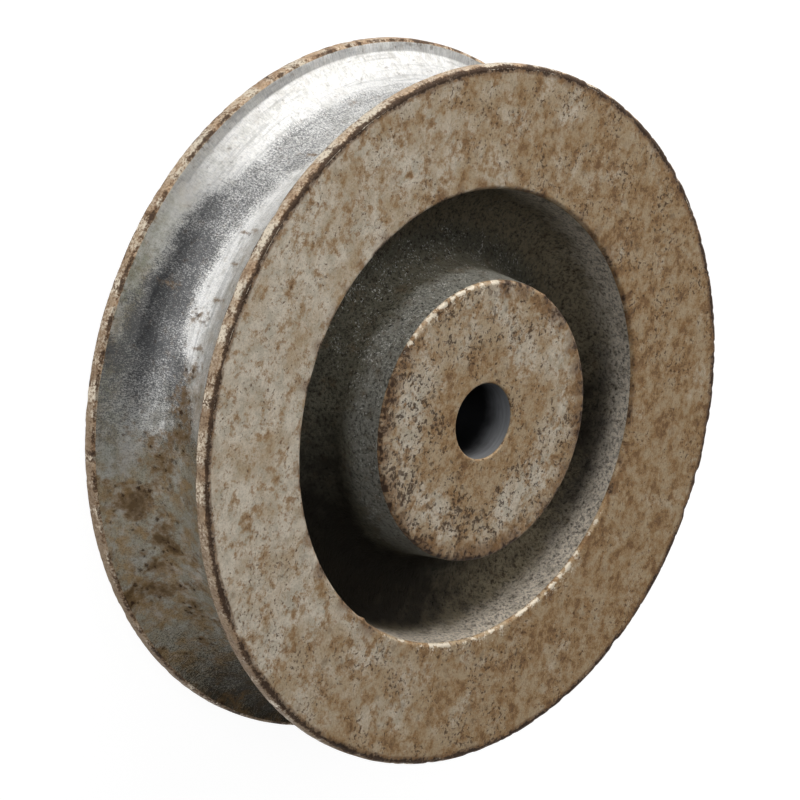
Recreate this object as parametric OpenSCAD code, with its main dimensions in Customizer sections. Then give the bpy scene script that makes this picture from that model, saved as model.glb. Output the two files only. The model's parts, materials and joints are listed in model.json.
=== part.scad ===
// Grooved wheel: a one-piece cast-iron rope wheel that turns on a plain pin.
// It is cast with a hub, a web and a rim, and the groove and the bore are then turned.
// It lies on the back end of its hub: the axis is +Z, and Z = 0 is the hub's back face.
// All sizes are in millimetres.

/* [Rim] */
// Outside diameter over the flanges
wheel_d = 60; // [52:0.5:90]
// Width of the rim, face to face
rim_w = 15; // [12.5:0.5:24]
// Width of the narrow land on the outside of each flange
land_w = 1.2; // [0.8:0.1:2.4]

/* [Groove] */
// Depth of the groove below the lands
groove_depth = 4; // [2.5:0.25:4.75]
// Height of the short steep wall between a land and the rounded floor
groove_wall_h = 1; // [0.5:0.1:1.8]
// Slope of that wall, away from square with the axis
groove_wall_deg = 18; // [5:1:28]

/* [Recess] */
// Diameter of the recess at its mouth
recess_d = 39; // [33:0.5:46]
// Thickness of the web between the two recesses
web_t = 4; // [2.5:0.25:8]
// Casting draft of the recess wall and of the hub's flank
draft_deg = 6; // [2:0.5:10]
// Fillet radius where the web meets the hub and the rim; a narrow recess takes a smaller one
foot_fillet = 2.6; // [0.5:0.1:2.8]

/* [Hub] */
// Diameter of the hub at its end faces
hub_d = 24; // [16:0.5:30]
// How far each hub end stands proud of the rim face
hub_proud = 1.5; // [0.5:0.1:4]
// Diameter of the through bore for the axle pin
bore_d = 6.5; // [4:0.1:12]

/* [Edges] */
// Radius of the broken edges
edge_round = 0.35; // [0.1:0.05:0.5]

/* [Hidden] */

// Steps to a full turn of every curve
$fn = 180;
// How far the groove's section runs past the lands and the floor
overcut = 1;
// How far a rounding arc runs past the two faces that it joins, so that it crosses them cleanly
arc_bite = 0.001;
// Share of a land's width that the rounds on its two edges may each take
land_share = 0.45;
// Share of the recess floor's width that the radius of each foot fillet may take
foot_share = 0.5;

wheel_r = wheel_d / 2;
recess_r = recess_d / 2;
hub_r = hub_d / 2;
bore_r = bore_d / 2;
land_round = min(edge_round, land_w * land_share);

// Heights above the wheel's middle plane
rim_half = rim_w / 2;
hub_half = rim_half + hub_proud;
web_half = web_t / 2;

// The draft widens the hub and narrows the recess towards the web
hub_foot_r = hub_r + (hub_half - web_half) * tan(draft_deg);
wall_foot_r = recess_r - (rim_half - web_half) * tan(draft_deg);
foot_r = min(foot_fillet, (wall_foot_r - hub_foot_r) * foot_share);

// Half the groove's width at its mouth, at any radius between its walls, and at their feet
mouth_half = rim_half - land_w;
function wall_half(radius) = mouth_half - (wheel_r - radius) * tan(groove_wall_deg);
groove_foot_r = wheel_r - groove_wall_h;
floor_half = wall_half(groove_foot_r);

// The groove's floor is one arc through the feet of both walls and the deepest point
floor_sag = groove_depth - groove_wall_h;
floor_r = (floor_half ^ 2 + floor_sag ^ 2) / (2 * floor_sag);
floor_centre = [wheel_r - groove_depth + floor_r, 0];

// Corners of the front half of the section, from the bore out to the rim, as [radius, height]
bore_end = [bore_r, hub_half];
hub_edge = [hub_r, hub_half];
hub_foot = [hub_foot_r, web_half];
wall_foot = [wall_foot_r, web_half];
recess_edge = [recess_r, rim_half];
rim_arris = [wheel_r, rim_half];
groove_lip = [wheel_r, mouth_half];
groove_foot = [groove_foot_r, floor_half];
front_half = [bore_end, hub_edge, hub_foot, wall_foot, recess_edge, rim_arris];
back_half = [for (i = [len(front_half) - 1 : -1 : 0]) [front_half[i].x, -front_half[i].y]];

function unit(v) = v / norm(v);

// The sliver between a corner and the arc that rounds it, to cut off an edge or to fill a foot
module corner_sliver(corner, before, after, radius) {
    u = unit(before - corner);
    v = unit(after - corner);
    half_angle = acos(u * v) / 2;
    inward = unit(u + v);
    reach = radius / tan(half_angle);
    centre = corner + inward * radius / sin(half_angle);
    difference() {
        polygon([corner - inward * radius, corner + u * reach, centre, corner + v * reach]);
        translate(centre) circle(r = radius + arc_bite);
    }
}

// The same shape on the front and on the back of the wheel
module both_sides() {
    children();
    mirror([0, 1]) children();
}

// Section of the groove: a rounded floor between two short sloping walls
module groove_section() {
    inside_r = wheel_r - groove_depth - overcut;
    outside_r = wheel_r + overcut;
    intersection() {
        translate(floor_centre) circle(r = floor_r);
        polygon([
            [inside_r, wall_half(inside_r)],
            [outside_r, wall_half(outside_r)],
            [outside_r, -wall_half(outside_r)],
            [inside_r, -wall_half(inside_r)]
        ]);
    }
}

// Fillets that run the web into the hub's flank and the recess wall
module foot_fillets() {
    corner_sliver(hub_foot, hub_edge, wall_foot, foot_r);
    corner_sliver(wall_foot, hub_foot, recess_edge, foot_r);
}

// What is taken off the sharp edges of the hub, the recess, the rim and the groove
module broken_edges() {
    corner_sliver(hub_edge, bore_end, hub_foot, edge_round);
    corner_sliver(recess_edge, wall_foot, rim_arris, edge_round);
    corner_sliver(rim_arris, recess_edge, groove_lip, land_round);
    corner_sliver(groove_lip, rim_arris, groove_foot, land_round);
}

// The wheel's section on one side of its axis, from the bore to the rim
module wheel_section() {
    difference() {
        union() {
            polygon(concat(front_half, back_half));
            both_sides() foot_fillets();
        }
        groove_section();
        both_sides() broken_edges();
    }
}

// The whole wheel, turned about its bore
module grooved_wheel() {
    color([0.62, 0.58, 0.51])
        translate([0, 0, hub_half])
            rotate_extrude() wheel_section();
}

grooved_wheel();
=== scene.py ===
# %% [markdown]
# # A weathered grooved wheel
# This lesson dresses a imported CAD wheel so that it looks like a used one: a cast rope wheel
# whose zinc has dulled and rusted, and whose groove the rope has polished.
# The CAD model comes in first and is never moved. It gives us the true sizes, and everything
# we build lies in its frame, in metres, with the axis upright and the hub's back face at zero.

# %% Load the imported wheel
import json
import math

import bpy
import numpy as np
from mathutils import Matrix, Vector, noise


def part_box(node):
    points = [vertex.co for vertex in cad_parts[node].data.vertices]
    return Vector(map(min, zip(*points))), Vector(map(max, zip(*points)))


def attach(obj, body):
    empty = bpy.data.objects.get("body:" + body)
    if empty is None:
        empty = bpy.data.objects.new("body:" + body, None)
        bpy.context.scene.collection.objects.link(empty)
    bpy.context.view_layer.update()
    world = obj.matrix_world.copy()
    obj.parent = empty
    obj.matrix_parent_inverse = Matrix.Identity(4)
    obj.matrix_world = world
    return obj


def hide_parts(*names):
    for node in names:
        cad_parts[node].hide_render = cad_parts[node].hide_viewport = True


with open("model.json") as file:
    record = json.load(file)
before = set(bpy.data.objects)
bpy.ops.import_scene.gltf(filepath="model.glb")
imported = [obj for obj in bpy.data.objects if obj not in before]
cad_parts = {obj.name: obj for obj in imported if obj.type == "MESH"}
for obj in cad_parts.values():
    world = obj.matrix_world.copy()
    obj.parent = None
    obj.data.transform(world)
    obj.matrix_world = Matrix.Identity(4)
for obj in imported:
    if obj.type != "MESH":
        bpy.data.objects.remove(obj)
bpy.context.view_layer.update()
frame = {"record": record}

MM = 0.001
bpy.context.scene.view_settings.view_transform = "Standard"


# %% [markdown]
# ## The wheel's sizes
# A wheel turned about one axis is fully described by half of its section. We read what we can
# from the frame: the outside radius and the height from the CAD node's box, the bore from the
# record. The rest are the named sizes that the wheel was designed with, all in millimetres.

# %% Sizes of the section
node_low, node_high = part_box("grooved_wheel")
bore_mount = next(m for m in frame["record"]["mounts"] if m["name"] == "axle_bore")

wheel_r = round((node_high.x - node_low.x) / 2 / MM, 1)
hub_half = round((node_high.z - node_low.z) / 2 / MM, 2)
bore_r = bore_mount["dims"]["r_mm"]
hub_proud = 1.5
rim_half = hub_half - hub_proud
land_w = 1.2
groove_depth = 4.0
groove_wall_h = 1.0
groove_wall_slope = math.tan(math.radians(18))
recess_r = 19.5
web_half = 2.0
draft_slope = math.tan(math.radians(6))
foot_fillet = 2.6
hub_r = 12.0
edge_round = 0.35
bore_break = 0.15

mouth_half = rim_half - land_w
groove_foot_r = wheel_r - groove_wall_h
floor_half = mouth_half - groove_wall_h * groove_wall_slope
floor_sag = groove_depth - groove_wall_h
floor_r = (floor_half**2 + floor_sag**2) / (2 * floor_sag)
floor_centre_r = wheel_r - groove_depth + floor_r
print(f"wheel {2 * wheel_r} mm over the flanges, {2 * hub_half} mm high, bore {2 * bore_r} mm")

# %% [markdown]
# ## The camera
# A long lens keeps the wheel's circles from bulging. Standing the camera over the wheel's edge
# and rolling it on its side shows the wheel as if it stood on its rim, although it lies safely
# on its hub. The numbers say where the front rim face's centre lies as the camera sees it.

# %% Camera
SENSOR_MM, PICTURE_PX, FOCAL_PX = 36.0, 800, 5500
SIGHT_UP = math.radians(44.05)
SIGHT_ROLL = math.radians(106.15)
FACE_IN_VIEW = Vector((6.003, -1.5, -461.75)) * MM

face_centre = Vector((0, 0, (hub_half + rim_half) * MM))
sight_back = Vector((0, -math.cos(SIGHT_UP), math.sin(SIGHT_UP)))
level_up = Vector((0, math.sin(SIGHT_UP), math.cos(SIGHT_UP)))
level_right = Vector((1, 0, 0))
sight_right = level_right * math.cos(SIGHT_ROLL) + level_up * math.sin(SIGHT_ROLL)
sight_up = level_up * math.cos(SIGHT_ROLL) - level_right * math.sin(SIGHT_ROLL)

camera_data = bpy.data.cameras.new("bench_camera")
camera_data.sensor_width = SENSOR_MM
camera_data.lens = FOCAL_PX / PICTURE_PX * SENSOR_MM
camera_data.clip_start, camera_data.clip_end = 0.01, 50
camera = bpy.data.objects.new("bench_camera", camera_data)
bpy.context.scene.collection.objects.link(camera)
bpy.context.scene.camera = camera

offset = (
    sight_right * FACE_IN_VIEW.x + sight_up * FACE_IN_VIEW.y + sight_back * FACE_IN_VIEW.z
)
sight = camera.matrix_world.to_3x3()
sight.col[0], sight.col[1], sight.col[2] = sight_right, sight_up, sight_back
camera.rotation_mode = "QUATERNION"
camera.rotation_quaternion = sight.to_quaternion()
camera.location = face_centre - offset
print("camera at", [round(c, 4) for c in camera.location], "lens", camera_data.lens, "mm")

# %% [markdown]
# ## The section as rings
# The real wheel is cast and then turned, so every surface is swept round the axis. We could
# spin a curve with a modifier, but then all rings would have equally many points. Writing the
# rings ourselves lets the thin, chipped flange edges have twice as many points as the plain
# faces. Each stretch of the section is a list of (radius, height above the middle plane).

# %% Helpers that draw stretches of the section
def run(start, end, steps, hold=0.08):
    """Points from start to end, with one close to each end that keeps the shading crisp."""
    start, end = np.array(start, float), np.array(end, float)
    edge = hold / np.linalg.norm(end - start)
    shares = np.concatenate([[0], np.linspace(edge, 1 - edge, steps - 1), [1]])
    return [tuple(start + (end - start) * s) for s in shares]


def rounded(corner, before, after, radius, steps):
    """Points of the arc that rounds the corner between two neighbours."""
    corner, before, after = (np.array(p, float) for p in (corner, before, after))
    u = (before - corner) / np.linalg.norm(before - corner)
    v = (after - corner) / np.linalg.norm(after - corner)
    half = math.acos(u @ v) / 2
    centre = corner + (u + v) / np.linalg.norm(u + v) * radius / math.sin(half)
    reach = radius / math.tan(half)
    a, b = (math.atan2(*(corner + w * reach - centre)[::-1]) for w in (u, v))
    b = a + (b - a + math.pi) % (2 * math.pi) - math.pi
    angles = np.linspace(a, b, steps + 1)
    return [(centre[0] + radius * math.cos(t), centre[1] + radius * math.sin(t)) for t in angles]


# %% Corners of the front half of the section
hub_foot = (hub_r + (hub_half - web_half) * draft_slope, web_half)
wall_foot = (recess_r - (rim_half - web_half) * draft_slope, web_half)
bore_end, hub_edge = (bore_r, hub_half), (hub_r, hub_half)
recess_edge, rim_arris = (recess_r, rim_half), (wheel_r, rim_half)
groove_lip, groove_foot = (wheel_r, mouth_half), (groove_foot_r, floor_half)

arc_bore = rounded(bore_end, (bore_r, 0), hub_edge, bore_break, 3)
arc_hub = rounded(hub_edge, bore_end, hub_foot, edge_round, 5)
arc_hub_foot = rounded(hub_foot, hub_edge, wall_foot, foot_fillet, 7)
arc_wall_foot = rounded(wall_foot, hub_foot, recess_edge, foot_fillet, 7)
arc_mouth = rounded(recess_edge, wall_foot, rim_arris, edge_round, 5)
arc_arris = rounded(rim_arris, recess_edge, groove_lip, edge_round, 6)
arc_lip = rounded(groove_lip, rim_arris, groove_foot, edge_round, 5)


# %% The turned floor of the groove, down to its middle
def floor_point(height):
    return (floor_centre_r - math.sqrt(floor_r**2 - height**2), height)


SCORED_UP, SCORED_HALF_W = 3.15, 0.06


def floor_stretch(scored):
    """Points from the wall's foot to the groove's middle; a scored floor has a fine ring."""
    stops = list(np.linspace(floor_half, 0, 11))
    stops.insert(1, floor_half - 0.1)
    if scored:
        stops += [SCORED_UP + SCORED_HALF_W, SCORED_UP, SCORED_UP - SCORED_HALF_W]
    return [floor_point(h) for h in sorted(stops, reverse=True)]


# %% [markdown]
# ## Zones
# Each stretch belongs to a zone, and each zone later gets its own finish. The chipped outer
# zones use the finer count of points round the wheel, the bore a coarser one.

# %% Stretches from the bore to the groove
COARSE, PLAIN, FINE = 225, 450, 900
fine_from = (28.7, rim_half)


def half_section(scored):
    return [
        ("bore", COARSE, run((bore_r, 0), arc_bore[0], 2)),
        ("face", PLAIN, arc_bore),
        ("face", PLAIN, run(arc_bore[-1], arc_hub[0], 7)),
        ("face", PLAIN, arc_hub),
        ("recess", PLAIN, run(arc_hub[-1], arc_hub_foot[0], 4)),
        ("recess", PLAIN, arc_hub_foot),
        ("recess", PLAIN, run(arc_hub_foot[-1], arc_wall_foot[0], 2)),
        ("recess", PLAIN, arc_wall_foot),
        ("recess", PLAIN, run(arc_wall_foot[-1], arc_mouth[0], 4)),
        ("face", PLAIN, arc_mouth),
        ("face", PLAIN, run(arc_mouth[-1], fine_from, 8)),
        ("face", FINE, run(fine_from, arc_arris[0], 4)),
        ("edge", FINE, arc_arris),
        ("edge", FINE, run(arc_arris[-1], arc_lip[0], 3)),
        ("edge", FINE, arc_lip),
        ("groove", FINE, run(arc_lip[-1], groove_foot, 3)),
        ("groove", PLAIN, floor_stretch(scored)),
    ]


# %% The whole section: the front half, then the same again mirrored for the back
def mirrored(stretches):
    return [(z, n, [(r, -h) for r, h in points[::-1]]) for z, n, points in stretches[::-1]]


rings, strip_zones = [], []
for zone, count, points in half_section(False) + mirrored(half_section(True)):
    if rings:
        points = points[1:]
        rings[-1] = (rings[-1][0], max(rings[-1][1], count))
    rings += [(p, count) for p in points]
    strip_zones += [zone] * (len(points) if strip_zones else len(points) - 1)
rings.pop()
print(len(rings), "rings;", sum(n for _, n in rings), "points")

# %% [markdown]
# ## Uneven skin
# A cast wheel is never quite true. We give each point a place, the direction that leaves the
# metal there, and then push it a few hundredths of a millimetre in or out. Blender's own noise
# function is the same on every run, so the wheel is too.

# %% Points of the perfect wheel
profile = np.array([p for p, _ in rings])
ring_start = np.concatenate([[0], np.cumsum([n for _, n in rings])])
ring_of = np.repeat(np.arange(len(rings)), [n for _, n in rings])
theta = np.concatenate([np.arange(n) * 2 * math.pi / n for _, n in rings])
radius, height = profile[ring_of, 0], profile[ring_of, 1]
both = np.abs(height)
on_front = height > 0

along = np.roll(profile, -1, 0) - profile
along /= np.linalg.norm(along, axis=1)[:, None]
tangent = along + np.roll(along, 1, 0)
tangent /= np.linalg.norm(tangent, axis=1)[:, None]
out_r, out_h = -tangent[ring_of, 1], tangent[ring_of, 0]
spot = np.c_[radius * np.cos(theta), radius * np.sin(theta), height]
degrees = (np.degrees(theta) + 180) % 360 - 180

# %% [markdown]
# Wear is described in words such as "noise on the edge", "near this corner" or "about this
# place round the wheel". One small helper stands for each, so that the steps below read as
# sentences. A flange's edge has its own noise, because a chip runs right across the edge.

# %% Random fields on the wheel
SEED_STEP = np.array([17.3, 5.1, 9.7])
EDGE_APART = 40
edge_line = np.c_[
    np.cos(theta) * wheel_r, np.sin(theta) * wheel_r, np.sign(height) * EDGE_APART
]


def field(size, seed, at=spot):
    """Smooth noise from about -1 to 1, with features about size mm across."""
    return np.array([noise.noise(Vector(p)) for p in at / size + SEED_STEP * seed])


def edge_field(size, seed):
    """The same, but constant from face to groove across each flange's edge."""
    return field(size, seed, edge_line)


# %% Helpers that say where on the wheel
def smooth(value, low, high):
    t = np.clip((value - low) / (high - low), 0, 1)
    return t * t * (3 - 2 * t)


def share(value):
    return np.clip(value, 0, 1)


def near(r, h, reach):
    """1 on a corner of the section, front and back, falling to 0 about reach mm from it."""
    return np.exp(-(((radius - r) ** 2 + (both - h) ** 2) / reach**2))


def arc_gap(centre_deg):
    """Degrees round the wheel from a place, from -180 to 180."""
    return (degrees - centre_deg + 180) % 360 - 180


def arc_mm(centre_deg, r):
    return arc_gap(centre_deg) * math.pi / 180 * r


def about(centre_deg, none_at, full_at):
    """1 up to full_at degrees from a place round the wheel, 0 beyond none_at degrees."""
    return smooth(-np.abs(arc_gap(centre_deg)), -none_at, -full_at)


def around(places_deg, values):
    """Values given at some places round the wheel, and blended between them."""
    return np.interp(degrees, places_deg, values)


# %% Which zone each point lies in
ring_zone = [{strip_zones[i], strip_zones[i - 1]} for i in range(len(rings))]
zone_share = {
    z: np.array([float(z in s) for s in ring_zone])[ring_of]
    for z in ("bore", "face", "recess", "edge", "groove")
}
print({z: int(s.sum()) for z, s in zone_share.items()}, "points in each zone")

# %% [markdown]
# ## Chipped edges
# Years of knocks have left the flanges' outer edges ragged. The chips are cut into the mesh,
# because an edge that is only painted ragged still looks machined in outline. A few larger
# chips have a place of their own; the rest follow the noise.

# %% Cut the chips into both flanges
large_chips = [  # degrees round the wheel, length and depth
    (-112.5, 1.6, 0.22), (-104.0, 1.0, 0.16), (-97.5, 1.3, 0.2),
    (-70.5, 1.1, 0.16), (-8.0, 2.0, 0.12),
]
BACK_LARGE_SHARE, BACK_SHARE, LIP_SHARE = 0.4, 0.45, 0.35

chip = 0.30 * share(edge_field(1.1, 1) - 0.16)
chip += 0.16 * share(edge_field(0.5, 2) - 0.1)
for place, length, depth in large_chips:
    gap = arc_mm(place, wheel_r) / (length / 2)
    chip += np.where(on_front, depth, depth * BACK_LARGE_SHARE) * np.exp(-(gap**2))
chip *= np.where(on_front, 1, BACK_SHARE)

at_arris = near(wheel_r - 0.1, rim_half - 0.1, 0.3)
at_lip = near(wheel_r - 0.1, mouth_half + 0.05, 0.22)
push = -chip * (at_arris + LIP_SHARE * at_lip)
print("deepest chip", round(float(-push.min()), 3), "mm")

# %% Cast waviness, grain and the scored ring
SCORE_W, SCORE_UP = 0.05, 0.006
cast = share(zone_share["face"] + zone_share["edge"])
push += cast * (0.016 * field(3.2, 3) + 0.010 * field(1.1, 4))
push += zone_share["recess"] * (0.022 * field(2.4, 5) + 0.016 * field(0.8, 6))
push += zone_share["groove"] * 0.004 * field(2.0, 7)
score = np.exp(-(((height + SCORED_UP) / SCORE_W) ** 2)) * zone_share["groove"]
push += SCORE_UP * score
print("skin pushed from", round(float(push.min()), 3), "to", round(float(push.max()), 3), "mm")

# %% [markdown]
# ## Knocks
# Small dents and two burrs: bumps that a careless blow or a worn mould has left. Each is a
# place round the wheel, a radius and a height, a size and a depth, and pushes nearby points.

# %% Dents and burrs
knocks = [
    (166.0, 11.9, 8.9, 0.35, 0.14),
    (-17.0, 19.45, 7.4, 0.5, 0.20),
    (121.5, 19.2, 5.3, 0.7, -0.16),
    (-75.3, 25.8, 7.5, 0.8, -0.06),
    (-130.0, 24.5, 7.5, 0.9, -0.05),
    (-30.0, 26.5, 7.5, 1.1, -0.07),
    (35.0, 24.0, 7.5, 1.0, -0.06),
    (100.0, 27.0, 7.5, 0.8, -0.06),
]
SMALL_DENTS = 70
rng = np.random.default_rng(11)
for _ in range(SMALL_DENTS):
    side = 1 if rng.random() < 0.5 else -1
    place, r = rng.uniform(-180, 180), rng.uniform(21, 29)
    size, depth = rng.uniform(0.45, 0.9), -rng.uniform(0.02, 0.05)
    knocks.append((place, r, side * rim_half, size, depth))

for place, r, h, size, depth in knocks:
    middle = np.array([r * math.cos(math.radians(place)), r * math.sin(math.radians(place)), h])
    push += depth * np.exp(-(((spot - middle) ** 2).sum(1) / size**2) * 2)
print(len(knocks), "knocks")

# %% [markdown]
# ## The mesh
# Neighbouring rings with equally many points are joined by quads. Where a fine ring meets a
# plain one, three triangles take the place of each quad, so the skin stays closed. No point
# may sink below the hub's back face, on which the wheel rests.

# %% Join the rings
points = np.c_[
    (radius + push * out_r) * np.cos(theta),
    (radius + push * out_r) * np.sin(theta),
    np.maximum(height + push * out_h + hub_half, 0),
] * MM

faces, face_zone = [], []
zone_slot = {"bore": 0, "face": 1, "recess": 2, "edge": 3, "groove": 4}
for i in range(len(rings)):
    j = (i + 1) % len(rings)
    n, m = rings[i][1], rings[j][1]
    a, b = ring_start[i] + np.arange(n), ring_start[j] + np.arange(m)
    a2, b2 = np.roll(a, -1), np.roll(b, -1)
    if n == m:
        made = np.c_[a, b, b2, a2].tolist()
    elif m == 2 * n:
        made = np.r_[
            np.c_[a, b[::2], b[1::2]], np.c_[a, b[1::2], a2], np.c_[a2, b[1::2], b2[1::2]]
        ].tolist()
    else:
        made = np.r_[
            np.c_[a[::2], b, a[1::2]], np.c_[a[1::2], b, b2], np.c_[a[1::2], b2, a2[1::2]]
        ].tolist()
    faces += made
    face_zone += [zone_slot[strip_zones[i]]] * len(made)

# %% Make the wheel and put it on its body
wheel_mesh = bpy.data.meshes.new("wheel_casting")
wheel_mesh.from_pydata(points.tolist(), [], faces)
wheel_mesh.polygons.foreach_set("use_smooth", [True] * len(faces))
wheel_mesh.polygons.foreach_set("material_index", face_zone)
wheel = bpy.data.objects.new("wheel_casting", wheel_mesh)
bpy.context.scene.collection.objects.link(wheel)
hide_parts("grooved_wheel")
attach(wheel, "root")
print(len(points), "points,", sum(len(f) - 2 for f in faces), "triangles")

# %% [markdown]
# ## Unrolling the skin
# A turned shape unrolls into a plain rectangle: once round the wheel across, once along the
# section up. Automatic unwrapping would cut it into hundreds of scraps instead. Only the last
# face of each ring needs care, because it ends at 1 and not back at 0.

# %% Map of the unrolled skin
MAP_MARGIN = 0.002
steps = np.linalg.norm(np.roll(profile, -1, 0) - profile, axis=1)
section_share = np.concatenate([[0], np.cumsum(steps)])[:-1] / steps.sum()
loop_point = np.concatenate([np.array(f) for f in faces])
loop_face = np.repeat(np.arange(len(faces)), [len(f) for f in faces])
first_loop = np.flatnonzero(np.diff(loop_face, prepend=-1))


def closed_round(place):
    """Places from 0 to 1, with those at 0 moved to 1 in faces that span the seam."""
    furthest = np.maximum.reduceat(place, first_loop)
    return place + (furthest[loop_face] - place > 0.5)


across = closed_round(theta[loop_point] / (2 * math.pi))
upward = closed_round(section_share[ring_of[loop_point]])
skin_map = wheel_mesh.uv_layers.new(name="OFBake")
unrolled = MAP_MARGIN + (1 - 2 * MAP_MARGIN) * np.c_[across, upward]
skin_map.data.foreach_set("uv", unrolled.ravel())
print("unrolled", len(loop_point), "corners,", round(float(steps.sum()), 1), "mm of section")

# %% [markdown]
# ## Where the rust is
# The finishes need to know more than a place: how rusty, how bare, how dulled it is there. We
# work that out for every point as numbers from 0 to 1, and store them on the mesh, where every
# finish can read them through an Attribute node. Rust comes first. It starts at the arrises,
# where the zinc is thinnest, and its reach into the face is ragged and longest at the top left.

# %% Rust along the flanges' edges
reach = np.clip(0.31 + 0.24 * edge_field(1.5, 35) + 0.14 * edge_field(0.6, 36), 0.12, 0.65)
reach *= around([-110, -65, 130, 160], [1, 0.74, 0.74, 1])
rust = near(wheel_r - 0.3, rim_half - 0.03, reach)
rust *= share(0.9 + 0.5 * edge_field(2.2, 21) + 0.35 * edge_field(0.8, 22))
halo = np.exp(-(((radius - wheel_r + 0.2) / 0.9) ** 2)) * zone_share["face"]
rust += 0.22 * halo * share(0.5 + 1.2 * field(1.8, 37))
lip_rust = share(0.35 + 0.8 * edge_field(1.6, 23) + 0.5 * edge_field(0.6, 24))
rust += np.where(on_front, 0.8, 1.0) * at_lip * lip_rust
crossed = smooth(edge_field(1.0, 25) + 0.5 * edge_field(0.4, 26), 0.42, 0.66)
rust += 0.32 * crossed * zone_share["edge"]

# %% Rust along the hub's edge and the recess's mouth, except on the arcs painted with glints
hub_line = near(hub_r - 0.1, hub_half - 0.1, 0.36)
mouth_line = near(recess_r + 0.15, rim_half - 0.1, 0.3)
# Arcs where the hub's edge and the mouth face the light: painted glints go there instead of rust.
hub_glint_arc, mouth_glint_arc = about(-138, 34, 24), about(33, 50, 36)
hub_rust = share(0.35 + 1.1 * field(0.9, 27) + 0.6 * field(0.4, 29))
mouth_rust = share(0.3 + 1.2 * field(1.2, 28))
rust += hub_line * (1 - hub_glint_arc) * hub_rust
rust += 0.9 * mouth_line * (1 - mouth_glint_arc) * mouth_rust
hub_rim = np.exp(-(((radius - hub_r + 0.3) / 0.7) ** 2)) * zone_share["face"]
rust += 0.28 * hub_rim * share(0.7 + 0.8 * field(1.6, 34))
print("rust on the edges: mean", round(float(rust.mean()), 3))

# %% [markdown]
# The groove rusts in blots on its dull side, and in short marks across it on its polished
# side. `sweep` tells how far round the wheel a place lies from the middle of the dull side.

# %% Rust in the groove
DULL_MID = 25
sweep = arc_gap(DULL_MID) + 1.2 * height + 5 * field(3.0, 45)
far_end = smooth(-arc_gap(DULL_MID) + 12 * field(3.5, 46), -118, -72)
lower = smooth(sweep, -107, -92) * far_end

blots = [  # degrees round the wheel, height, size and strength
    (-58.8, -4.4, 1.7, 1.0), (-50.8, -2.7, 1.3, 0.8), (-40.8, -5.1, 1.5, 0.7),
    (-46.0, -3.6, 1.1, 0.5), (-66.0, -1.9, 1.6, 0.6), (-34.0, -2.9, 1.4, 0.5),
    (-70.0, -3.2, 0.9, 0.4), (-25.0, -4.0, 1.3, 0.4), (40.0, -2.0, 2.0, 0.7),
    (75.0, 2.5, 1.8, 0.7), (95.0, -3.0, 1.6, 0.6), (10.0, 1.5, 1.9, 0.6),
    (-149.0, -2.5, 0.7, 0.3), (-153.0, -1.9, 0.6, 0.25), (-93.3, -0.4, 1.0, 0.45),
    (-78.4, 0.0, 1.4, 0.55), (-84.0, 0.8, 1.2, 0.5), (-72.0, 0.5, 1.5, 0.55),
    (-98.0, -3.9, 0.8, 0.3),
]
blot_shape = 1 + 0.5 * field(1.2, 31)
for place, up, size, strength in blots:
    gap = np.hypot(arc_mm(place, radius), (height - up) * 1.1) * blot_shape / size
    rust += zone_share["groove"] * strength * np.exp(-(gap**2))

# %% Short marks, and the scatter of the dull side
MARK_W, MARK_STRENGTH = 0.26, 0.6
marks = [  # degrees round the wheel, height and length
    (-111.6, 0.3, 1.5), (-104.8, 0.8, 0.7), (-97.5, 0.9, 1.0), (-88.2, 0.5, 1.3),
    (-131.0, 0.4, 1.0),
]
mark_shape = 0.35 * field(0.9, 48)
for place, up, length in marks:
    gap = np.hypot((arc_mm(place, radius) + mark_shape) / MARK_W, (height - up) / length)
    rust += zone_share["groove"] * MARK_STRENGTH * np.exp(-(gap**2))
scatter = smooth(field(1.6, 32) + 0.5 * field(0.5, 33), 0.1, 0.6)
rust += zone_share["groove"] * lower * 0.5 * scatter
rust = share(rust)
print(len(blots), "blots and", len(marks), "marks in the groove")

# %% [markdown]
# ## Where the metal is dull, dirty or bare, and where shade and glints are painted
# The rope keeps one side of the groove bright. The walls that it doesn't reach are dull, and so
# is the side that lay low. A dark band that wanders round the groove is a painted dark
# reflection on its upper side and painted shade, with some dirt, at the groove's bottom: a table
# gives its lower and upper edge and its strength, and noise breaks its outline. The same number
# also holds the painted shadow in the recess's low corner.

# %% Dull metal in the groove
polished_top = about(-152, 54, 26)
back_wall = smooth(-height, floor_half - 1.9, floor_half - 0.2) * (1 - 0.85 * polished_top)
front_wall = smooth(height, floor_half - 0.6, floor_half)
fading = 0.55 * smooth(sweep, -116, -102) * far_end
front_haze = smooth(height + 0.9 * field(1.2, 47), 0.4, 2.0) * about(-88, 34, 14)
dull = np.maximum(lower, fading) + 0.3 * field(4.0, 41)
for cause in (0.42 * front_haze, 0.85 * back_wall, 0.7 * front_wall):
    dull = np.maximum(dull, cause)
dull = share(dull) * zone_share["groove"]

# %% The painted dark band, whose edges wander round the groove
# From -180 to -62 degrees the band is a painted dark reflection; from -36 to 60 degrees it is
# painted shade with some dirt.
painted_dark_band = [  # degrees round the wheel, lower edge, upper edge, strength
    (-180, -3.4, 4, 0), (-168, -3.4, 4, 0.3), (-150, -3.4, 4, 0.4), (-137, -3.4, 3, 0.47),
    (-126, -3.2, 0, 0.64), (-116, -4.2, -0.9, 0.8), (-108, -5, -1.2, 0.95),
    (-97, -5.5, -1.9, 1), (-92, -5.8, -1.8, 1), (-87, -6, -1, 1), (-82, -7, -0.1, 0.85),
    (-77, -7, 1.2, 0.55), (-70, -7, 3, 0.25), (-62, -7, 7, 0), (-36, -7, 7, 0.08),
    (-24, -7, 7, 0.4), (-12, -7, 7, 0.95), (20, -7, 7, 1), (36, -7, 7, 0.4), (60, -7, 7, 0),
]
band_at, band_low, band_high, band_strength = np.array(painted_dark_band).T
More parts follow.
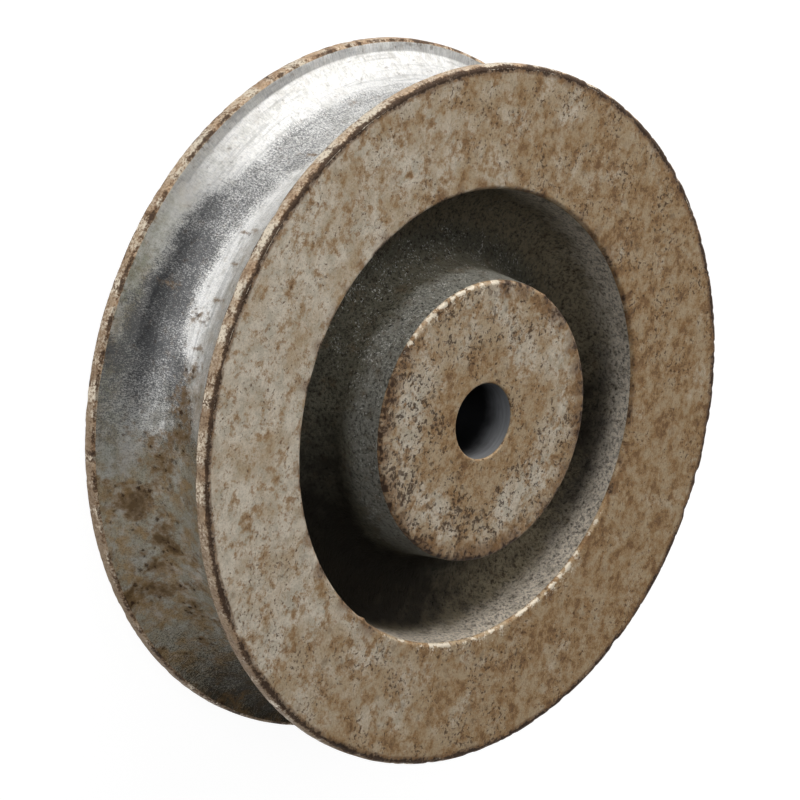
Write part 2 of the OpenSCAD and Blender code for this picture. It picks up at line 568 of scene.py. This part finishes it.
wander = 0.5 * field(2.6, 43) + 0.35 * field(0.9, 44)
low_edge, high_edge = around(band_at, band_low), around(band_at, band_high)
painted_shade_and_dirt = smooth(height + wander, low_edge - 0.6, low_edge + 0.6)
painted_shade_and_dirt *= smooth(-height - wander, -high_edge - 0.9, -high_edge + 0.7)
painted_shade_and_dirt *= around(band_at, band_strength) * (0.95 + 0.35 * field(2.2, 42))
painted_shade_and_dirt *= zone_share["groove"]

# %% Painted shadow in the low corner of the recess
painted_corner_shadow = [  # degrees round the wheel, strength
    (-135, 0), (-110, 0.12), (-80, 0.35), (-58, 0.6), (-40, 0.85), (-10, 1), (15, 0.88),
    (32, 0.58), (48, 0.32), (62, 0.34), (85, 0.68), (105, 0.68), (125, 0.2), (140, 0),
]
corner_top = around([-60, -20, 50, 75], [6.6, 5.0, 5.0, 7.0])
# Painted shadow: the hub's shadow across the low corner and shade on the right wall, up to
# corner_top.
corner = around(*np.array(painted_corner_shadow).T) * smooth(corner_top - both, 0, 2.4)
painted_shade_and_dirt = share(painted_shade_and_dirt + corner * zone_share["recess"])

# %% [markdown]
# Bare metal shows where hands and ropes rub on the lands; on lit stretches of the hub's and
# recess's edges, and on lit stretches of the lands, glints are painted in cream. Two more numbers
# tint the zinc: `warm` drifts from grey on the left to tan on the right, and `pocked` says how
# thickly rust pits lie.

# %% Bare metal and painted glints
# The lands hold bare metal, and painted glints on the stretches that face the light.
back_bare_and_glint = around(
    [-165, -142, -95, -85, -77, -66, -56], [-0.2, 0.45, 0.45, 0.25, 0.1, -0.1, -0.3]
)
front_bare_and_glint = around(
    [-180, -150, -130, -95, -80, -50, 60, 180], [0.2, 0.45, 0.65, 0.7, 0.35, 0.1, 0, 0.2]
)
land_bare_and_glint = np.where(on_front, front_bare_and_glint, back_bare_and_glint) + 0.9 * edge_field(1.3, 51)
bare_and_glint = zone_share["edge"] * share(land_bare_and_glint)
bare_and_glint += at_lip * ~on_front * share(0.15 + 1.2 * edge_field(0.8, 53))
# Painted glints on the lit arcs of the hub's edge and the recess's mouth.
painted_edge_glints = hub_line * hub_glint_arc + mouth_line * mouth_glint_arc
bare_and_glint += 1.3 * painted_edge_glints * share(0.42 + 1.5 * field(0.6, 52))
bare_and_glint = share(bare_and_glint)

# %% Warmth
on_hub = radius < hub_r + 0.5
# Higher at the bottom as well (about 0 to 40 degrees), so the rim is tanner and darker there.
rim_warm = around(
    [-180, -130, -100, -75, -45, -20, 5, 40, 90, 140, 180],
    [0.63, 0.3, 0.08, 0, 0.12, 0.45, 0.66, 0.85, 1, 0.9, 0.63],
)
hub_warm = np.interp(radius, [3, 6, 8.5, 10.5, 12], [0.95, 0.66, 0.38, 0.38, 0.62])
tanned = smooth(sweep, -103, -88) * far_end
groove_warm = np.maximum(np.maximum(tanned, 0.8 * front_haze), 0.85 * front_wall)
warm = np.where(on_hub, hub_warm, rim_warm)
warm = np.where(zone_share["groove"] > 0, groove_warm, warm)

# %% Pits, and all the numbers stored on the points
low_left = 0.5 + 0.5 * np.cos(np.radians(arc_gap(-50)))
hub_pocked = 0.42 + 0.45 * low_left * smooth(radius, 4, 9)
# Extra pits at the top and towards the bottom (about -5 degrees) darken the rim there.
rim_pocked = 0.10 + 0.16 * rim_warm + 0.20 * about(170, 75, 30) + 0.20 * about(-5, 70, 25)
numbers = {
    "rust": rust, "dull": dull, "painted_shade_and_dirt": painted_shade_and_dirt, "bare_and_glint": bare_and_glint, "warm": warm,
    "pocked": np.where(on_hub, hub_pocked, rim_pocked),
}
for name, values in numbers.items():
    stored = wheel_mesh.attributes.new(name, "FLOAT", "POINT")
    stored.data.foreach_set("value", values.astype(np.float32))
    print(f"{name}: mean {values.mean():.3f}, highest {values.max():.2f}")


# %% [markdown]
# ## A toolbox for finishes
# Finishes are node trees. A small class saves typing: it keeps the tree, measures positions in
# millimetres, and has one short method for each thing that we do again and again.

# %% Short ways to add nodes
class Finish:
    def __init__(self, name):
        self.material = bpy.data.materials.new(name)
        self.material.use_nodes = True
        self.tree = self.material.node_tree
        self.shader = self.tree.nodes["Principled BSDF"]
        place = self.node("ShaderNodeTexCoord").outputs["Object"]
        self.mm = self.vector("SCALE", place, Scale=1 / MM)

    def fill(self, socket, value):
        """Link a socket to another one, or give it a constant."""
        if isinstance(value, bpy.types.NodeSocket):
            self.tree.links.new(value, socket)
        else:
            socket.default_value = value

    def node(self, kind, inputs=None, **settings):
        node = self.tree.nodes.new(kind)
        for key, value in settings.items():
            setattr(node, key, value)
        for key, value in (inputs or {}).items():
            self.fill(node.inputs[key], value)
        return node

    def number(self, name):
        """One of the numbers stored on the wheel's points."""
        return self.node("ShaderNodeAttribute", attribute_name=name).outputs["Fac"]

    # Sums on numbers and on places.
    def math(self, operation, a, b=0.0, clamp=False):
        inputs = {0: a, 1: b}
        sums = self.node("ShaderNodeMath", inputs, operation=operation, use_clamp=clamp)
        return sums.outputs[0]

    def plus(self, a, b, clamp=False):
        return self.math("ADD", a, b, clamp)

    def minus(self, a, b):
        return self.math("SUBTRACT", a, b)

    def times(self, a, b, clamp=False):
        return self.math("MULTIPLY", a, b, clamp)

    def ramp(self, value, low, high, start=0.0, end=1.0):
        inputs = {"Value": value, "From Min": low, "From Max": high, "To Min": start, "To Max": end}
        ramped = self.node("ShaderNodeMapRange", inputs, interpolation_type="SMOOTHSTEP")
        return ramped.outputs["Result"]

    def vector(self, operation, a, b=None, **named):
        inputs = {0: a, **({} if b is None else {1: b}), **named}
        return self.node("ShaderNodeVectorMath", inputs, operation=operation).outputs["Vector"]

    # Patterns.
    def elsewhere(self, at, seed):
        """The same coordinates moved far off, so that a texture gives another pattern."""
        return self.vector("ADD", at, (13.7 * seed, 7.3 * seed, 3.1 * seed)) if seed else at

    def cloud(self, size, detail=3.0, rough=0.5, at=None, seed=0):
        """Noise from 0 to 1 with features about size mm across."""
        place = self.elsewhere(at or self.mm, seed)
        inputs = {"Vector": place, "Scale": 1 / size, "Detail": detail, "Roughness": rough}
        return self.node("ShaderNodeTexNoise", inputs).outputs["Fac"]

    def swing(self, cloud, by):
        """A cloud as a number from -by to by, to break a smooth outline."""
        return self.ramp(cloud, 0.3, 0.7, -by, by)

    def specks(self, spacing, size, seed=0):
        """Soft irregular spots of differing size and strength: up to 1 in a spot, 0 between."""
        place = self.elsewhere(self.mm, seed)
        wobble = {"Vector": place, "Scale": 2.6 / spacing, "Detail": 3.0, "Roughness": 0.6}
        wobble = self.node("ShaderNodeTexNoise", wobble).outputs["Color"]
        place = self.vector("ADD", place, self.vector("SCALE", wobble, Scale=spacing))
        cells = self.node("ShaderNodeTexVoronoi", {"Vector": place, "Scale": 1 / spacing}).outputs
        luck = self.node("ShaderNodeSeparateColor", {0: cells["Color"]}).outputs
        reach = self.math("MAXIMUM", self.times(luck[0], size / spacing), 0.02)
        spot = self.ramp(self.math("DIVIDE", cells["Distance"], reach), 1.1, 0.45)
        return self.times(spot, self.ramp(luck[1], 0.0, 0.8, 0.25, 1.0))

    # Paint, relief and the hand-over to the shader.
    def paint(self, under, over, cover):
        """One colour laid over another where cover is 1."""
        ends = {6: under, 7: over, 0: cover}
        ends = {k: (*v, 1.0) if isinstance(v, tuple) else v for k, v in ends.items()}
        return self.node("ShaderNodeMix", ends, data_type="RGBA").outputs[2]

    def relief(self, height, depth):
        """Fine relief in the shading, depth mm from its lowest to its highest."""
        inputs = {"Height": height, "Distance": depth * MM, "Strength": 1.0}
        bump = self.node("ShaderNodeBump", inputs)
        self.fill(self.shader.inputs["Normal"], bump.outputs["Normal"])

    def finish(self, colour, roughness, metallic, specular=0.5):
        settings = {
            "Base Color": colour, "Roughness": roughness, "Metallic": metallic,
            "Specular IOR Level": specular,
        }
        for name, value in settings.items():
            self.fill(self.shader.inputs[name], value)
        print("finish", self.material.name, "has", len(self.tree.nodes), "nodes")
        return self.material


# %% [markdown]
# ## Rim and hub faces
# Dull zinc with a sandy grain, washed with ochre and peppered with rust where the plating has
# failed. Each happened after the one before, so we paint them in that order: haze, ochre
# blots, grain with some painted sparkle, flecks, pits, and the rust, wear and painted glints of
# the edges last. Noise gives the outlines, and the numbers on the points say where each is strong.

# %% Colours that several finishes share
CREAM = (0.78, 0.69, 0.55)
STAIN = (0.19, 0.10, 0.045)
RUST = (0.052, 0.029, 0.017)
GRIT = (0.04, 0.03, 0.02)

# %% Wash and grain of the faces
ZINC, SAGE = (0.72, 0.645, 0.53), (0.48, 0.43, 0.335)
HAZE, OCHRE = (0.45, 0.33, 0.197), (0.37, 0.225, 0.10)
face = Finish("dull_zinc_face")
drift = face.ramp(face.number("warm"), 0.0, 1.0, -0.10, 0.20)
sage = face.ramp(face.cloud(1.6, 4.0, 0.65, seed=3), 0.42, 0.66, 0.0, 0.8)
wash = face.paint(ZINC, SAGE, sage)
haze = face.plus(face.cloud(3.4, 4.0, 0.60), drift)
wash = face.paint(wash, HAZE, face.ramp(haze, 0.33, 0.68, 0.0, 0.9))
ochre = face.plus(face.cloud(1.3, 6.0, 0.74, seed=7), face.times(drift, 0.25))
wash = face.paint(wash, OCHRE, face.ramp(ochre, 0.47, 0.61, 0.0, 0.85))
wash = face.paint(wash, STAIN, face.ramp(ochre, 0.57, 0.69, 0.0, 0.85))
wash = face.paint(wash, STAIN, face.ramp(face.number("rust"), 0.05, 0.4, 0.0, 0.65))
grain = face.cloud(0.22, 4.0, 0.75, seed=11)
wash = face.paint(wash, GRIT, face.ramp(grain, 0.53, 0.32, 0.0, 0.30))
# Pale peaks of the grain: partly the grain's own tone, partly painted sparkle.
wash = face.paint(wash, CREAM, face.ramp(grain, 0.56, 0.74, 0.0, 0.26))

# %% Flecks and pits on the faces
FLECK, YOUNG_PIT, OLD_PIT = (0.30, 0.165, 0.068), (0.12, 0.062, 0.028), (0.055, 0.030, 0.017)
flecks = face.ramp(face.cloud(0.6, 5.0, 0.70, seed=23), 0.54, 0.66)
wash = face.paint(wash, FLECK, face.times(flecks, 0.75))
pocks = face.number("pocked")
crowd = face.ramp(face.cloud(3.2, 3.0, 0.55, seed=5), 0.36, 0.64, -0.08, 0.02)
crowd = face.plus(crowd, face.times(pocks, 0.14))
pits = face.ramp(face.plus(face.cloud(0.34, 4.0, 0.66, seed=21), crowd), 0.60, 0.68)
pits = face.math("MAXIMUM", pits, face.times(face.specks(1.1, 0.46, seed=4), pocks, clamp=True))
pit_colour = face.paint(YOUNG_PIT, OLD_PIT, face.ramp(pocks, 0.2, 0.6))
wash = face.paint(wash, pit_colour, face.times(pits, 0.85))

# %% Rusty edges, bare edges with painted glints, and the hand-over to the shader
ragged = face.plus(face.number("rust"), face.swing(face.cloud(0.4, 5.0, 0.7, seed=9), 0.35))
rusty = face.ramp(ragged, 0.40, 0.85)
wash = face.paint(wash, RUST, rusty)
# Cream where the metal is bare, and painted glints on the lit arcs and lands.
bare_and_glint_cream = face.ramp(face.plus(face.number("bare_and_glint"), face.swing(grain, 0.4)), 0.45, 0.75)
wash = face.paint(wash, CREAM, bare_and_glint_cream)
face.relief(face.minus(grain, face.times(face.math("MAXIMUM", pits, rusty), 0.6)), 0.045)
face_material = face.finish(wash, face.ramp(bare_and_glint_cream, 0.0, 1.0, 0.50, 0.30), 0.25)

# %% [markdown]
# ## Flange edges and lands
# The narrow lands outside the groove are rubbed to a tan sheen, and the sharp arris has lost
# its zinc altogether, so it carries a broken line of rust with pale chips.

# %% Finish of the flange edges
PALE_TAN, DEEP_TAN = (0.60, 0.435, 0.285), (0.45, 0.30, 0.185)
edge = Finish("rubbed_flange_edge")
tan = edge.paint(PALE_TAN, DEEP_TAN, edge.ramp(edge.cloud(1.2, 4.0, 0.62), 0.40, 0.62))
edge_grain = edge.cloud(0.22, 5.0, 0.72, seed=2)
rough_edge = edge.swing(edge_grain, 0.45)
tan = edge.paint(tan, GRIT, edge.ramp(edge_grain, 0.52, 0.32, 0.0, 0.3))
# Pale chips: bare metal, and painted glints where the lands face the light.
chips = edge.ramp(edge.plus(edge.number("bare_and_glint"), rough_edge), 0.1, 0.9)
tan = edge.paint(tan, CREAM, chips)
edge_ragged = edge.minus(edge.number("rust"), edge.times(rough_edge, 0.8))
edge_rusty = edge.ramp(edge_ragged, 0.35, 0.85, 0.0, 0.9)
tan = edge.paint(tan, STAIN, edge.ramp(edge_ragged, 0.10, 0.45, 0.0, 0.85))
tan = edge.paint(tan, RUST, edge_rusty)
edge.relief(edge.minus(edge_grain, edge.times(edge_rusty, 0.5)), 0.09)
bright = edge.times(chips, edge.ramp(edge_rusty, 0.0, 0.6, 1.0, 0.0))
edge_material = edge.finish(
    tan, edge.ramp(bright, 0.0, 1.0, 0.6, 0.34), edge.ramp(bright, 0.0, 1.0, 0.1, 0.8)
)

# %% [markdown]
# ## The groove
# The rope has polished the groove's floor to a bright metal. Its fine streaks run across the
# groove, and the lathe's faint rings run round it. Where the wheel has stood still, the polish
# has gone: the metal is dull, grey-green or tan, and blotched with rust. A grainy dark band is
# painted over it: a painted dark reflection on its upper side, and painted shade with some dirt
# at its bottom. Stretching the coordinates of a noise is the simplest way to make streaks and
# rings.

# %% Streaks, rings and grain of the groove
BRUSH_R = 27.0
groove = Finish("rope_polished_groove")
outward = groove.vector("NORMALIZE", groove.vector("MULTIPLY", groove.mm, (1.0, 1.0, 0.0)))
circled = groove.vector("SCALE", outward, Scale=BRUSH_R)
brushed = groove.vector("ADD", circled, groove.vector("MULTIPLY", groove.mm, (0.0, 0.0, 0.5)))
turned = groove.vector("MULTIPLY", groove.mm, (0.05, 0.05, 1.0))
streaks = groove.cloud(0.10, 4.0, 0.78, at=brushed)
rings_seen = groove.cloud(0.34, 4.0, 0.75, at=turned)
fine_grain = groove.cloud(0.11, 3.0, 0.75, seed=2)

# %% Polished and dull metal of the groove
BRIGHT, STREAK, RING = (0.96, 0.95, 0.925), (0.64, 0.645, 0.65), (0.42, 0.42, 0.42)
DULL_GREEN, DULL_BROWN = (0.275, 0.275, 0.22), (0.25, 0.22, 0.155)
DRY_CLAY, DRY_TAN = (0.47, 0.43, 0.335), (0.46, 0.33, 0.185)
metal = groove.paint(BRIGHT, STREAK, groove.ramp(streaks, 0.60, 0.32))
metal = groove.paint(metal, RING, groove.ramp(rings_seen, 0.50, 0.36, 0.0, 0.5))
browned = groove.ramp(groove.cloud(2.0, 4.0, 0.6, seed=5), 0.40, 0.62)
tanned_here = groove.ramp(groove.cloud(1.6, 5.0, 0.64, seed=6), 0.42, 0.60)
dulled = groove.paint(
    groove.paint(DULL_GREEN, DULL_BROWN, browned),
    groove.paint(DRY_CLAY, DRY_TAN, tanned_here),
    groove.number("warm"),
)
dulled = groove.paint(dulled, GRIT, groove.ramp(fine_grain, 0.56, 0.32, 0.0, 0.6))
patchy = groove.swing(groove.cloud(0.9, 5.0, 0.68, seed=3), 0.22)
matt = groove.plus(groove.number("dull"), patchy, clamp=True)
metal = groove.paint(metal, dulled, matt)

# %% Grainy painted dark reflection and painted shade, with some dirt, in the groove
GREY_DARK_REFLECTION, BROWN_DIRT_AND_SHADE = (0.085, 0.087, 0.092), (0.035, 0.028, 0.02)
shade_and_dirt_amount = groove.number("painted_shade_and_dirt")
spread = groove.ramp(groove.plus(streaks, fine_grain), 0.7, 1.3, 0.55, -0.55)
shade_and_dirt_cover = groove.ramp(groove.plus(shade_and_dirt_amount, spread), 0.0, 1.0)
shade_and_dirt_cover = groove.times(shade_and_dirt_cover, groove.ramp(shade_and_dirt_amount, 0.0, 0.3))
# Grey where it is a painted dark reflection, brown where it is painted shade with dirt at the
# bottom.
shade_and_dirt_colour = groove.paint(GREY_DARK_REFLECTION, BROWN_DIRT_AND_SHADE, groove.number("warm"))
metal = groove.paint(metal, shade_and_dirt_colour, groove.times(shade_and_dirt_cover, 0.9))

# %% Rust in the groove, and the hand-over to the shader
RUST_FILM, RUST_CRUST = (0.25, 0.155, 0.072), (0.11, 0.068, 0.032)
groove_ragged = groove.swing(groove.cloud(0.55, 5.0, 0.70, seed=8), 0.30)
groove_ragged = groove.plus(groove.number("rust"), groove_ragged)
stained = groove.ramp(groove_ragged, 0.12, 0.75, 0.0, 0.85)
metal = groove.paint(metal, RUST_FILM, stained)
metal = groove.paint(metal, RUST_CRUST, groove.ramp(groove_ragged, 0.60, 1.05, 0.0, 0.7))
rust_dots = groove.times(groove.specks(0.5, 0.30), groove.ramp(groove_ragged, 0.0, 0.5, 0.05, 0.9))
metal = groove.paint(metal, RUST, rust_dots)
covered = groove.math("MAXIMUM", groove.math("MAXIMUM", matt, stained), rust_dots)
groove_height = groove.plus(streaks, groove.times(fine_grain, 0.8))
groove.relief(groove.minus(groove_height, groove.times(covered, 0.3)), 0.010)
groove_material = groove.finish(
    metal,
    groove.ramp(covered, 0.0, 1.0, 0.36, 0.7),
    groove.ramp(covered, 0.0, 1.0, 1.0, 0.2),
    specular=0.1,
)

# %% [markdown]
# ## The recess
# Nothing rubs the recess, so it keeps its cast skin: grey-green zinc near the openings, brown
# and rough further down, where it is also painted darker as shade. The low corner is painted
# near black as painted shadow, and the hub's flank has a scatter of painted glints. A place's
# height above the wheel's middle plane tells how close to the opening it lies, and its distance
# from the axis whether it is flank or wall.

# %% Where a place lies in the recess
recess = Finish("cast_recess")
recess_z = recess.node("ShaderNodeSeparateXYZ", {0: recess.mm}).outputs["Z"]
middle_up = recess.math("ABSOLUTE", recess.minus(recess_z, hub_half))
across_axis = recess.vector("MULTIPLY", recess.mm, (1.0, 1.0, 0.0))
off_axis = recess.node("ShaderNodeVectorMath", {0: across_axis}, operation="LENGTH")
outer = recess.ramp(off_axis.outputs["Value"], 14.5, 16.5)
uneven = recess.swing(recess.cloud(1.6, 4.0, 0.6), 0.5)
opening = recess.plus(middle_up, uneven)

# %% Cast skin of the recess, darker deep down as tone and painted shade
FLANK_LOW_SHADED, FLANK_TOP = (0.155, 0.146, 0.108), (0.31, 0.305, 0.265)
WALL_LOW_SHADED, WALL_TOP = (0.25, 0.21, 0.14), (0.80, 0.715, 0.60)
BROWN_SKIN, SOOT, PIT = (0.15, 0.11, 0.066), (0.012, 0.01, 0.008), (0.035, 0.023, 0.013)
# Lighter near the opening and darker deep down: partly the cast skin's tone, partly painted shade.
flank = recess.paint(FLANK_LOW_SHADED, FLANK_TOP, recess.ramp(opening, 4.6, 6.8))
wall = recess.paint(WALL_LOW_SHADED, WALL_TOP, recess.ramp(opening, 3.0, 6.2))
skin = recess.paint(flank, wall, outer)
brown = recess.ramp(recess.cloud(1.2, 5.0, 0.68, seed=4), 0.50, 0.72, 0.0, 0.75)
skin = recess.paint(skin, BROWN_SKIN, brown)
recess_grain = recess.cloud(0.28, 5.0, 0.75, seed=2)
skin = recess.paint(skin, SOOT, recess.ramp(recess_grain, 0.56, 0.36, 0.0, 0.75))
recess_pits = recess.ramp(recess.cloud(0.5, 4.0, 0.70, seed=7), 0.54, 0.70)
pit_cover = recess.times(recess_pits, recess.ramp(opening, 3.5, 6.0, 0.75, 0.28))
skin = recess.paint(skin, PIT, pit_cover)

# %% Painted shadow and painted glints in the recess, and the hand-over to the shader
CORNER_PAINTED_SHADOW, PAINTED_GLINT = (0.010, 0.008, 0.006), (0.72, 0.71, 0.67)
painted_shadow_here = recess.number("painted_shade_and_dirt")
painted_shadow_edge = recess.plus(painted_shadow_here, recess.times(uneven, 0.3))
# Painted shadow: near black where the hub's shadow falls in the low corner.
skin = recess.paint(skin, CORNER_PAINTED_SHADOW, recess.ramp(painted_shadow_edge, 0.05, 0.9, 0.0, 0.93))
# Painted glints: pale specks in clusters, mostly on the hub's flank, kept out of the painted
# shadow.
painted_glints = recess.ramp(recess.cloud(0.17, 2.0, 0.6, seed=9), 0.57, 0.66)
clusters = recess.ramp(recess.cloud(1.3, 3.0, 0.6, seed=12), 0.42, 0.62)
painted_glints = recess.times(recess.times(painted_glints, clusters), recess.ramp(painted_shadow_here, 0.35, 0.05))
skin = recess.paint(skin, PAINTED_GLINT, recess.times(painted_glints, recess.ramp(outer, 0.0, 1.0, 0.8, 0.15)))
recess.relief(recess.minus(recess_grain, recess.times(recess_pits, 0.3)), 0.18)
recess_rough = recess.ramp(recess_grain, 0.3, 0.7, 0.26, 0.50)
recess_material = recess.finish(skin, recess_rough, 0.4, specular=0.3)

# %% [markdown]
# ## The bore
# The bore's ends are clean, smooth, plain dark steel with faint turning marks. Further in, the
# steel is painted almost black: painted shade deep in the bore.

# %% Finish of the bore
STEEL, MARKED_STEEL = (0.40, 0.41, 0.43), (0.33, 0.335, 0.345)
DEEP_BORE_SHADE = (0.016, 0.016, 0.018)
bore = Finish("worn_bore")
bore_z = bore.node("ShaderNodeSeparateXYZ", {0: bore.mm}).outputs["Z"]
from_middle = bore.math("ABSOLUTE", bore.minus(bore_z, hub_half))
turning = bore.cloud(1.0, 3.0, 0.6, at=bore.vector("MULTIPLY", bore.mm, (0.3, 0.3, 4.0)))
steel = bore.paint(STEEL, MARKED_STEEL, bore.ramp(turning, 0.35, 0.65))
toward_bore_ends = bore.plus(from_middle, bore.swing(bore.cloud(1.8, 3.0, 0.55), 0.2))
# Painted shade: near black deep in the bore, plain steel towards its ends.
steel = bore.paint(DEEP_BORE_SHADE, steel, bore.ramp(toward_bore_ends, 5.6, 8.6))
bore.relief(turning, 0.001)
bore_material = bore.finish(steel, bore.ramp(turning, 0.3, 0.7, 0.34, 0.42), 0.6)

# %% Give the wheel its finishes, in the order of zone_slot
for made in (bore_material, face_material, recess_material, edge_material, groove_material):
    wheel_mesh.materials.append(made)
print([m.name for m in wheel_mesh.materials])

# %% [markdown]
# ## Floor
# A pale floor whose outer edge sweeps up, so that low views see no horizon. It is plain paint,
# and what the camera and shiny metal see of it is lifted to nearly white, so that the shadow
# under the wheel stays, but faintly. It lies a hair below the wheel, because two faces in
# exactly the same plane would flicker.

# %% Shape of the floor
FLOOR_SIDES, FLOOR_DROP = 96, 0.05 * MM
floor_rings = [(1.0, 0), (2.0, 0), (2.4, 0.02), (2.7, 0.1), (2.9, 0.26), (3.0, 0.5)]
floor_points = [
    (r * math.cos(2 * math.pi * k / FLOOR_SIDES), r * math.sin(2 * math.pi * k / FLOOR_SIDES), h)
    for r, h in floor_rings
    for k in range(FLOOR_SIDES)
]
floor_faces = [tuple(range(FLOOR_SIDES))]
for i in range(len(floor_rings) - 1):
    for k in range(FLOOR_SIDES):
        a, b = i * FLOOR_SIDES + k, i * FLOOR_SIDES + (k + 1) % FLOOR_SIDES
        floor_faces.append((a, a + FLOOR_SIDES, b + FLOOR_SIDES, b))
floor_mesh = bpy.data.meshes.new("pale_floor")
floor_mesh.from_pydata(floor_points, [], floor_faces)
floor_mesh.polygons.foreach_set("use_smooth", [True] * len(floor_faces))
floor = bpy.data.objects.new("pale_floor", floor_mesh)
floor.location.z = -FLOOR_DROP
bpy.context.scene.collection.objects.link(floor)

# %% Paint of the floor
SEEN_WHITE = 0.94
paper = Finish("white_paper")
ray = paper.node("ShaderNodeLightPath").outputs
shown = paper.plus(ray["Is Camera Ray"], ray["Is Glossy Ray"], clamp=True)
shown = paper.plus(shown, ray["Is Transmission Ray"], clamp=True)
paper.fill(paper.shader.inputs["Emission Strength"], paper.times(shown, SEEN_WHITE))
paper.fill(paper.shader.inputs["Emission Color"], (1, 1, 1, 1))
paper_tint = paper.paint((0.17, 0.17, 0.17), (0.16, 0.16, 0.16), paper.cloud(40.0))
floor_mesh.materials.append(paper.finish(paper_tint, 0.9, 0.0, specular=0.0))

# %% [markdown]
# ## Light
# Three soft boxes, each with one job. The key box stands low at the wheel's side and rakes
# across its faces, which shows the grain and leaves the far side of the recess dark. It is
# hidden from reflections, because a lamp as strong as that would burn out the polished groove.
# The sheen box, in almost the same place, is seen only in reflections and gives the groove its
# gentle highlight. The small fill box opens the shadows. The world only adds a dim, even glow,
# so the polished metal has something dark to mirror.

# %% Soft boxes
AIM = Vector((0, 0, 0.01))


def soft_box(name, at, wide, high, watts, tint):
    lamp = bpy.data.lights.new(name, "AREA")
    lamp.shape, lamp.size, lamp.size_y = "RECTANGLE", wide, high
    lamp.energy, lamp.color = watts, tint
    holder = bpy.data.objects.new(name, lamp)
    bpy.context.scene.collection.objects.link(holder)
    holder.location = at
    holder.rotation_mode = "QUATERNION"
    holder.rotation_quaternion = (AIM - Vector(at)).to_track_quat("-Z", "Y")
    holder.visible_camera = False
    print(name, "at", at, watts, "W")
    return holder


key = soft_box("key_box", (-0.61, 0.06, 0.32), 1.3, 0.36, 6.8, (1.0, 0.975, 0.94))
key.visible_glossy = False
sheen = soft_box("sheen_box", (-0.62, 0.06, 0.33), 1.2, 0.6, 3.0, (1.0, 0.985, 0.96))
sheen.visible_diffuse = False
fill = soft_box("fill_box", (-0.10, -0.55, 0.40), 0.45, 0.45, 2.1, (0.985, 0.99, 1.0))
fill.visible_glossy = False

# %% World
GLOW_TINT, GLOW_STRENGTH = (0.92, 0.96, 1.0, 1), 0.10
world = bpy.data.worlds.new("dim_studio")
bpy.context.scene.world = world
world.use_nodes = True
glow = world.node_tree.nodes["Background"]
glow.inputs["Color"].default_value = GLOW_TINT
glow.inputs["Strength"].default_value = GLOW_STRENGTH
